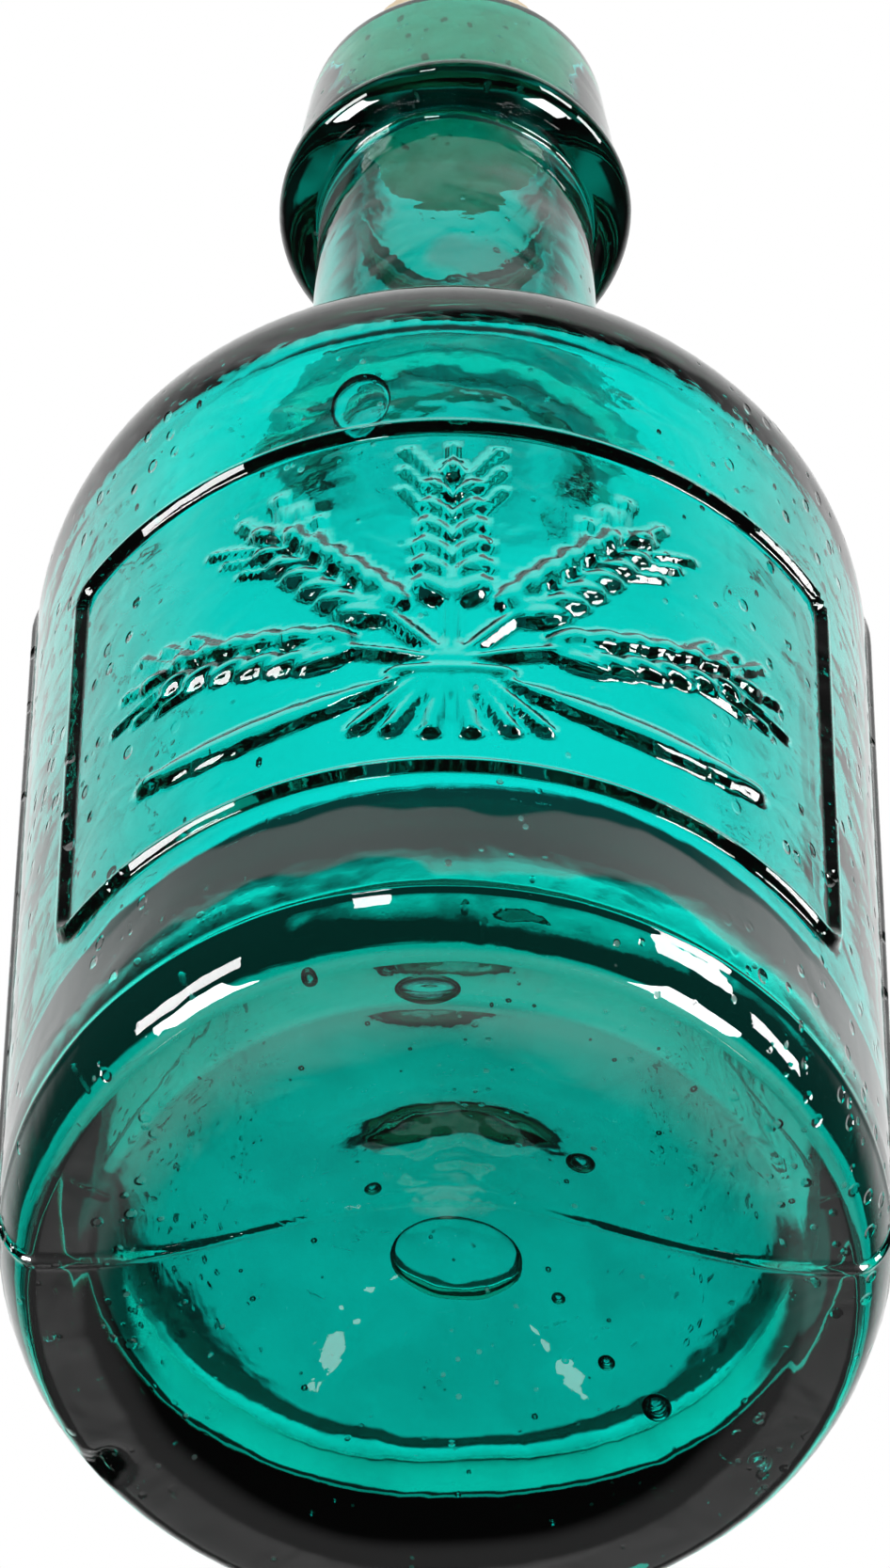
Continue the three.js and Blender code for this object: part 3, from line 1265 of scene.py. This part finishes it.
@dataclass
class GlassBottle:
    """The bottle's glass: the blown body and the collar, fused into one piece as on the real bottle."""

    outline: BlownOutline = field(default_factory=BlownOutline)
    columns: MeshColumns = field(default_factory=MeshColumns)
    plate: FramedPlate = field(default_factory=FramedPlate)
    sheaf: BarleySheaf = field(default_factory=BarleySheaf)
    seam: MouldSeam = field(default_factory=MouldSeam)
    chip: HeelChip = field(default_factory=HeelChip)
    seeds: SeededGlass = field(default_factory=SeededGlass)
    finish: GlassFinish = field(default_factory=GlassFinish)
    floor_rise: float = 5.0
    floor_back: float = 2.5
    hollow_shift: float = 0.8
    heel_line: float = 5.9
    heel_line_relief: float = 0.09
    heel_line_width: float = 0.32
    # Painted shade: the push-up's colour is darkened, which holds down the light seen through the base.
    push_up_shade: float = 0.58
    # Painted shade: the underside of the collar's bead is darkened nearly to black.
    bead_shade: float = 0.97
    bead_shade_rise: float = 0.9
    # Painted shade: the neck's colour is darkened all round.
    neck_shade: float = 0.36
    wall_ripple: Ripple = Ripple(0.035, 14.0, 3.1, 0.5)
    base_roll: Ripple = Ripple(0.2, 13.0, 7.7)
    base_skin: Ripple = Ripple(0.022, 3.4, 2.2)
    base_scribble: Ripple = Ripple(0.14, 2.0, 6.1)
    scribble_fade: Pair = (9.0, 16.0)
    tip_fade: Pair = (0.5, 5.0)
    heel_ripple: Ripple = Ripple(0.06, 6.0, 5.0)
    chip_ripple: Ripple = Ripple(0.8, 1.1, 9.0)
    collar_ripple: Ripple = Ripple(0.16, 11.0, 4.0, 0.4)
    collar_sink: float = 0.1
    blown_ripple: Ripple = Ripple(0.10, 15.0, 1.3)
    hollow_roll: Ripple = Ripple(0.36, 21.0, 6.4, 0.6)
    hollow_skin: Ripple = Ripple(0.07, 7.0, 8.1)
    floor_fade: Pair = (22.0, 74.0)
    neck_fade: Pair = (110.0, 128.0)
    middle_fade: Pair = (3.0, 8.0)
    calm_fade: Pair = (40.0, 75.0)
    calming: float = 0.55

    def build(self, groups: SurfaceGroups) -> bpy.types.Object:
        """Makes the glass and puts it on the bottle's body.

        Args:
            groups: Shared shader groups.

        Returns:
            The finished piece.
        """
        material = self.finish.material(groups)
        parts = MeshParts()
        fine, plain = self.columns.fine(), self.columns.plain()
        below = parts.add_points(self.lower_outside(fine)[1:])
        tip = int(parts.add_points(np.array([[0.0, 0.0, self.outline.kick_depth]]))[0])
        parts.fan(below[0], tip, tip_first=True)
        parts.bands(list(below))
        above = parts.add_points(self.upper_outside(plain))
        outside = parts.count
        parts.weave(below[-1], fine, above[0], plain)
        hollow = self.hollow(plain)
        inside = parts.add_points(hollow[:-1])
        middle = int(parts.add_points(hollow[-1, :1])[0])
        rings = [*above, *inside]
        parts.bands(rings)
        parts.fan(rings[-1], middle, tip_first=False)
        for shell in self.seeds.shells(material):
            numbers = parts.add_points(np.array([v.co for v in shell.vertices]) / MM)
            parts.faces += [tuple(int(numbers[v]) for v in p.vertices) for p in shell.polygons]
            bpy.data.meshes.remove(shell)
        mesh = parts.mesh("bottle_glass")
        mesh.materials.append(material)
        shares = np.zeros(parts.count)
        shares[:outside] = 1.0
        self.store(mesh, "outside", shares)
        # Painted shade for each ring of the outside, by its zone.
        shares[:] = 0.0
        rows = [*self.outline.outside_below()[1:], *self.outline.outside_above()]
        for ring, row in zip([*below, *above], rows):
            shares[ring] = self.painted_shade(row)
        shares[tip] = shares[below[0]].mean()
        self.store(mesh, "painted_shade", shares)
        piece = put_in_scene("bottle_glass", mesh)
        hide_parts("glass_body", "applied_collar")
        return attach(piece, "bottle")

    @staticmethod
    def store(mesh: bpy.types.Mesh, name: str, values: np.ndarray) -> None:
        """Keeps a number for each vertex under a name that the glass's material reads."""
        mesh.attributes.new(name, "FLOAT", "POINT").data.foreach_set("value", values.tolist())

    def painted_shade(self, row: Row) -> float:
        """Share of painted shade on a row: most under the bead, some on the push-up and the neck."""
        if row.zone is Zone.PUSH_UP:
            return self.push_up_shade
        if row.zone is Zone.NECK:
            return self.neck_shade
        bead_middle = self.outline.collar_bottom + self.outline.bead_height
        under = row.zone is Zone.COLLAR and row.height < bead_middle + self.bead_shade_rise
        return self.bead_shade if under else 0.0

    def lower_outside(self, angles: np.ndarray) -> np.ndarray:
        """Outside from the tip of the push-up to the shoulder, with relief, seam, chip and ripples.

        Args:
            angles: Angles of the columns, in radians.

        Returns:
            An array of rows by columns by x, y and z.
        """
        rows = self.outline.outside_below()
        points, out = turned(rows, angles)
        zones = np.array([r.zone for r in rows])
        lift = np.zeros(points.shape[:-1])
        wall = zones == Zone.WALL
        bearings = (angles + math.pi) % (2.0 * math.pi) - math.pi
        across = np.broadcast_to(bearings * self.outline.body_radius, lift[wall].shape)
        up = points[wall][..., 2]
        lift[wall] += np.maximum(self.plate.height(across, up), self.sheaf.height(across, up))
        lift[wall] += self.wall_ripple.values(points[wall])
        pushed = zones == Zone.PUSH_UP
        base = points[pushed]
        far = np.hypot(base[..., 0], base[..., 1])
        scribble = (1.0 - smooth_step(far, *self.scribble_fade)) * self.base_scribble.values(base)
        waves = self.base_roll.values(base) + self.base_skin.values(base) + scribble
        lift[pushed] += smooth_step(far, *self.tip_fade) * waves
        edge = (zones == Zone.RING) | (zones == Zone.HEEL)
        lift[edge] += self.heel_ripple.values(points[edge])
        above_line = (points[edge][..., 2] - self.heel_line) / self.heel_line_width
        lift[edge] += self.heel_line_relief * np.exp(-(above_line**2))
        lift += self.seam.height(points)
        lift -= self.chip.cut(points) * (1.0 + self.chip_ripple.values(points) * edge[:, None])
        placed = points + out * lift[..., None]
        placed[..., 2] = np.maximum(placed[..., 2], 0.0)
        return placed

    def upper_outside(self, angles: np.ndarray) -> np.ndarray:
        """Outside from the shoulder to the mouth: seams that fade and a collar tooled by hand.

        Args:
            angles: Angles of the columns, in radians.

        Returns:
            An array of rows by columns by x, y and z.
        """
        rows = self.outline.outside_above()
        points, out = turned(rows, angles)
        zones = np.array([r.zone for r in rows])
        lift = self.seam.height(points)
        collar = (zones == Zone.COLLAR)[:, None]
        blown = ((zones == Zone.SHOULDER) | (zones == Zone.NECK))[:, None]
        lift += collar * (self.collar_ripple.values(points) - self.collar_sink)
        lift += blown * self.blown_ripple.values(points)
        return points + out * lift[..., None]

    def hollow(self, angles: np.ndarray) -> np.ndarray:
        """The hollow: its walls are uneven, and its floor lies off the axis and rises to the front and back.

        Args:
            angles: Angles of the columns, in radians.

        Returns:
            An array of rows by columns by x, y and z.
        """
        rows = self.outline.inside()
        points, out = turned(rows, angles)
        low = 1.0 - smooth_step(points[..., 2], *self.floor_fade)
        depth = 1.0 - smooth_step(points[..., 2], *self.neck_fade)
        wander = self.hollow_roll.values(points) + self.hollow_skin.values(points)
        rim = 1.0 - smooth_step(np.hypot(points[..., 0], points[..., 1]), *self.middle_fade)
        calm = 1.0 - self.calming * smooth_step(points[..., 2], *self.calm_fade)
        placed = points + out * (wander * depth * calm * (1.0 - rim * low))[..., None]
        foot = self.outline.floor_edge
        settled = 1.0 - smooth_step(points[..., 2], foot, foot + self.outline.floor_corner)
        placed[..., 0] += self.hollow_shift * low
        placed[..., 1] += self.floor_back * settled
        raised = np.minimum((points[..., 1] / self.outline.body_radius) ** 2, 1.0)
        placed[..., 2] += self.floor_rise * raised * low
        return placed


@dataclass
class BarkCork:
    """The tapered cork, with rubbed edges and a grainy skin."""

    bottom: float = 169.0
    top: float = 191.0
    fit_height: float = 179.8
    fit_radius: float = 8.43
    taper: float = 2.2
    chamfer: float = 0.9
    columns: int = 120
    pole: float = 0.2
    edge_turn: float = 80.0
    end_steps: int = 9
    edge_steps: int = 5
    side_steps: int = 40
    worn_back: float = 0.12
    worn_range: Pair = (-0.11, 0.3)
    wear: Ripple = Ripple(0.16, 3.2, 1.9)
    grain: Ripple = Ripple(0.10, 0.9, 4.6)
    finish: CorkFinish = field(default_factory=CorkFinish)

    def radius_at(self, height: float) -> float:
        """Radius of the cork at a height."""
        return self.fit_radius + (height - self.fit_height) * math.tan(math.radians(self.taper))

    def build(self, groups: SurfaceGroups) -> bpy.types.Object:
        """Makes the cork and puts it on its sliding body.

        Args:
            groups: Shared shader groups.

        Returns:
            The finished piece.
        """
        foot, head = self.radius_at(self.bottom), self.radius_at(self.top)
        cut = self.chamfer
        low, high = self.bottom + cut, self.top - cut
        rows = line_rows((self.pole, self.bottom), (foot - cut, self.bottom), self.end_steps, Zone.FLOOR)
        rows += arc_rows((foot - cut, low), (cut, cut), (-self.edge_turn, 0.0), self.edge_steps, Zone.WALL)
        rows += line_rows((foot, low), (head, high), self.side_steps, Zone.WALL)[1:-1]
        rows += arc_rows((head - cut, high), (cut, cut), (0.0, self.edge_turn), self.edge_steps, Zone.WALL)
        rows += line_rows((head - cut, self.top), (self.pole, self.top), self.end_steps, Zone.FLOOR)
        angles = np.arange(self.columns) * (2.0 * math.pi / self.columns)
        points, out = turned(rows, angles)
        worn = self.wear.values(points) + self.grain.values(points)
        points = points - out * (self.worn_back + np.clip(worn, *self.worn_range))[..., None]
        parts = MeshParts()
        rings = parts.add_points(points)
        ends = parts.add_points(np.array([points[0].mean(axis=0), points[-1].mean(axis=0)]))
        parts.fan(rings[0], int(ends[0]), tip_first=True)
        parts.bands(list(rings))
        parts.fan(rings[-1], int(ends[1]), tip_first=False)
        mesh = parts.mesh("bark_cork")
        mesh.materials.append(self.finish.material(groups))
        piece = put_in_scene("bark_cork", mesh)
        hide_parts("cork")
        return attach(piece, "cork")


@dataclass
class SoftLamp:
    """A rectangular studio lamp that shows in the glass as a highlight."""

    name: str
    direction: Triple
    size: Pair
    brightness: float
    distance: float = 0.9
    aim: Triple = (0.0, 0.0, 0.06)

    def build(self) -> bpy.types.Object:
        """Makes the lamp, turned to the bottle.

        Returns:
            The lamp's object.
        """
        lamp = bpy.data.lights.new(self.name, "AREA")
        lamp.shape = "RECTANGLE"
        lamp.size, lamp.size_y = self.size
        lamp.energy = self.brightness * math.pi * self.size[0] * self.size[1]
        holder = put_in_scene(self.name, lamp)
        away = Vector(self.direction).normalized()
        holder.location = Vector(self.aim) + away * self.distance
        holder.rotation_mode = "QUATERNION"
        holder.rotation_quaternion = away.to_track_quat("Z", "Y")
        holder.visible_camera = False
        holder.visible_diffuse = False
        holder.visible_transmission = False
        return holder


@dataclass
class Studio:
    """A white studio: pale floor, soft world, lamps and the camera at the photograph's angle."""

    floor_radius: float = 3.0
    floor_drop: float = 0.0004
    floor_sides: int = 96
    floor_grey: float = 0.84
    elevation: float = 52.293
    focal_pixels: float = 11257.302
    camera_distance: float = 0.8430914
    roll: float = 0.533
    axis_pixel: Pair = (473.383, 1376.964)
    sheet_gap: Triple = (-0.55, -0.28, 0.04)
    gap_spread: float = -0.2
    gap_climb: float = 0.9
    gap_dark: float = 0.95
    sheet_back: float = 0.06
    side_light: float = 0.1
    backdrop: Pair = (0.45, 0.9)
    table: Pair = (-1.0, -0.93)
    sky: Ramp = ((0.1, 0.95), (1.0, 0.45))
    mirrored_sky: Ramp = ((-0.2, 0.9), (0.75, 0.4))
    low_light: float = 1.8
    sheet_light: float = 1.45
    sheet_side: Pair = (0.42, 0.6)
    room_light: float = 0.03
    table_light: float = 0.8
    ceiling: Ramp = ((0.83, 0.9), (0.0, 0.8))
    sheet_edge: Pair = (-0.6, -0.2)
    overhead: Pair = (0.52, 0.68)
    overhead_light: float = 0.05
    lamps: tuple[SoftLamp, ...] = (
        SoftLamp("lamp_below_left", (-0.455, 0.07, -0.888), (0.05, 0.06), 4.5),
        SoftLamp("lamp_below_right", (0.455, 0.07, -0.888), (0.05, 0.06), 4.5),
        SoftLamp("lamp_front", (-0.26, -0.862, 0.435), (0.12, 0.09), 18.0),
        SoftLamp("lamp_left", (-0.834, -0.548, 0.06), (0.40, 0.20), 18.0),
        SoftLamp("lamp_right", (0.739, -0.54, 0.40), (0.28, 0.18), 18.0),
        SoftLamp("lamp_far_right", (0.953, -0.244, 0.174), (0.24, 0.18), 18.0),
        SoftLamp("lamp_low_left", (-0.76, -0.47, -0.45), (0.30, 0.50), 30.0),
        SoftLamp("lamp_low_right", (0.72, -0.47, -0.51), (0.30, 0.50), 30.0),
    )

    def build(self) -> None:
        """Makes the world, floor, lamps and camera, and sets how light is traced."""
        self.world()
        self.floor()
        for lamp in self.lamps:
            lamp.build()
        self.camera()
        scene = bpy.context.scene
        scene.view_settings.view_transform = "Standard"
        scene.cycles.max_bounces = 24
        scene.cycles.transmission_bounces = 24
        scene.cycles.glossy_bounces = 12
        scene.cycles.transparent_max_bounces = 16

    def world(self) -> None:
        """White behind the object. Through the floor, the glass shows a lit sheet and mirrors a dim room."""
        world = bpy.data.worlds.new("white_studio")
        bpy.context.scene.world = world
        world.use_nodes = True
        wiring = NodeWiring(world.node_tree)
        path = wiring.add("ShaderNodeLightPath")
        towards = wiring.add("ShaderNodeTexCoord").outputs["Generated"]
        rise = wiring.add("ShaderNodeSeparateXYZ", {0: towards}).outputs["Z"]
        beneath = wiring.math("MINIMUM", path.outputs["Transparent Depth"], 1.0)
        through = wiring.blend(beneath, wiring.ramp(rise, *self.sky), self.lit_sheet(wiring, towards))
        pale = wiring.ramp(rise, *self.mirrored_sky)
        mirrored = wiring.blend(beneath, pale, self.dim_room(wiring, towards))
        strength = wiring.blend(path.outputs["Is Glossy Ray"], 1.0, mirrored)
        strength = wiring.blend(path.outputs["Is Transmission Ray"], strength, through)
        scattered = wiring.math("MINIMUM", path.outputs["Diffuse Depth"], 1.0)
        strength = wiring.blend(scattered, strength, 1.0)
        strength = wiring.blend(path.outputs["Is Camera Ray"], strength, 1.0)
        background = world.node_tree.nodes["Background"]
        background.inputs["Color"].default_value = (1.0, 1.0, 1.0, 1.0)
        wiring.join(strength, background.inputs["Strength"])

    def view_axes(self) -> tuple[Vector, Vector]:
        """Directions that the camera looks along and that point up in its picture."""
        tilt = math.radians(self.elevation)
        return Vector((0.0, math.cos(tilt), math.sin(tilt))), Vector((0.0, -math.sin(tilt), math.cos(tilt)))

    def lit_sheet(self, wiring: NodeWiring, towards: Socket) -> Socket:
        """Brightness of the lit sheet behind the bottle.

        It is dark overhead, at the sides and in a gap between two sheets, and brightest below the gap.

        Args:
            wiring: Wiring of the world's tree.
            towards: Direction that light is looked for in.

        Returns:
            The brightness's socket.
        """
        along, upward = (self.share_along(wiring, towards, axis) for axis in self.view_axes())
        aside = wiring.math("ABSOLUTE", self.share_along(wiring, towards, Vector((1.0, 0.0, 0.0))), 0.0)
        low, high, soft = self.sheet_gap
        lower = wiring.math("ADD", upward, wiring.times(aside, self.gap_spread))
        upper = wiring.math("SUBTRACT", upward, wiring.times(aside, self.gap_climb))
        gap = wiring.times(
            wiring.ramp(lower, (low - soft, low + soft), (0.0, 1.0)),
            wiring.ramp(upper, (high - soft, high + soft), (1.0, 0.0)),
        )
        return wiring.times(
            wiring.ramp(along, self.sheet_edge, (self.sheet_back, self.sheet_light)),
            wiring.ramp(upward, self.overhead, (1.0, self.overhead_light)),
            wiring.ramp(aside, self.sheet_side, (1.0, self.side_light)),
            wiring.ramp(lower, (low - 2.0 * soft, low), (self.low_light, 1.0)),
            wiring.math("SUBTRACT", 1.0, wiring.times(gap, self.gap_dark)),
        )

    def dim_room(self, wiring: NodeWiring, towards: Socket) -> Socket:
        """Brightness of what the glass mirrors.

        It is white behind the bottle, pale at the ceiling and the table, and dim on the camera's side.

        Args:
            wiring: Wiring of the world's tree.
            towards: Direction that light is looked for in.

        Returns:
            The brightness's socket.
        """
        along, upward = (self.share_along(wiring, towards, axis) for axis in self.view_axes())
        backdrop = wiring.ramp(along, self.backdrop, (self.room_light, 1.0))
        table = wiring.ramp(upward, self.table, (self.table_light, 0.0))
        overhead = wiring.ramp(self.share_along(wiring, towards, Vector((0.0, 0.0, 1.0))), *self.ceiling)
        return wiring.math("MAXIMUM", wiring.math("ADD", backdrop, table), overhead)

    @staticmethod
    def share_along(
        wiring: NodeWiring, towards: Socket, axis: Vector
    ) -> Socket:
        """How far a direction points along an axis.

        Args:
            wiring: Wiring of the world's tree.
            towards: The direction's socket.
            axis: The axis.

        Returns:
            The share's socket, from -1 to 1.
        """
        values = {0: towards, 1: axis}
        return wiring.add("ShaderNodeVectorMath", values, operation="DOT_PRODUCT").outputs["Value"]

    def floor(self) -> None:
        """A round pale floor that is seen from above and seen through from below."""
        material, wiring, shader = start_material("pale_floor")
        place = wiring.add("ShaderNodeTexCoord").outputs["Object"]
        mottle = wiring.add("ShaderNodeTexNoise", {"Vector": place, "Scale": 9.0, "Detail": 2.0})
        greys = (self.floor_grey - 0.01, self.floor_grey + 0.01)
        grey = wiring.ramp(mottle.outputs["Fac"], (0.3, 0.7), greys)
        wiring.fill(shader, {"Roughness": 0.85, "Base Color": grey})
        behind = wiring.add("ShaderNodeNewGeometry").outputs["Backfacing"]
        passed = wiring.add("ShaderNodeLightPath").outputs["Transparent Depth"]
        unseen = wiring.math("ADD", behind, passed, clamp=True)
        clear = wiring.add("ShaderNodeBsdfTransparent")
        choice = wiring.add("ShaderNodeMixShader", {0: unseen, 1: shader.outputs[0], 2: clear.outputs[0]})
        wiring.join(choice.outputs[0], material.node_tree.nodes["Material Output"].inputs["Surface"])
        turns = np.arange(self.floor_sides) * (2.0 * math.pi / self.floor_sides)
        reach, level = self.floor_radius, -self.floor_drop
        rim = [(reach * math.cos(t), reach * math.sin(t), level) for t in turns]
        mesh = bpy.data.meshes.new("studio_floor")
        mesh.from_pydata(rim, [], [tuple(range(len(rim)))])
        mesh.materials.append(material)
        piece = put_in_scene("studio_floor", mesh)

    def camera(self) -> None:
        """The camera of the photograph: below the base, looking up past it along the bottle."""
        roll = math.radians(self.roll)
        view, rise = self.view_axes()
        right = Vector((1.0, 0.0, 0.0))
        dx, dy = IMAGE_WIDTH / 2.0 - self.axis_pixel[0], IMAGE_HEIGHT / 2.0 - self.axis_pixel[1]
        x = math.cos(roll) * dx + math.sin(roll) * dy
        y = -math.sin(roll) * dx + math.cos(roll) * dy
        look = (view + right * (x / self.focal_pixels) - rise * (y / self.focal_pixels)).normalized()
        upwards = rise * math.cos(roll) - right * math.sin(roll)
        side = look.cross(upwards).normalized()
        upwards = side.cross(look).normalized()
        place = -view * self.camera_distance
        camera = bpy.data.cameras.new("photo_camera")
        camera.sensor_width = 36.0
        slant = math.hypot(1.0, math.hypot(dx, dy) / self.focal_pixels)
        camera.lens = self.focal_pixels / slant / IMAGE_HEIGHT * camera.sensor_width
        camera.clip_start = 0.01
        holder = put_in_scene("photo_camera", camera)
        holder.matrix_world = Matrix(
            (
                (side.x, upwards.x, -look.x, place.x),
                (side.y, upwards.y, -look.y, place.y),
                (side.z, upwards.z, -look.z, place.z),
                (0.0, 0.0, 0.0, 1.0),
            )
        )
        bpy.context.scene.camera = holder


def main() -> None:
    """Builds the glass, the cork and the studio."""
    logging.basicConfig(level=logging.INFO, format="%(name)s: %(message)s")
    groups = SurfaceGroups()
    for maker in (GlassBottle(), BarkCork()):
        piece = maker.build(groups)
        LOG.info("%s: %d faces", piece.name, len(piece.data.polygons))
    Studio().build()
    bpy.context.view_layer.update()


if __name__ == "__main__":
    main()
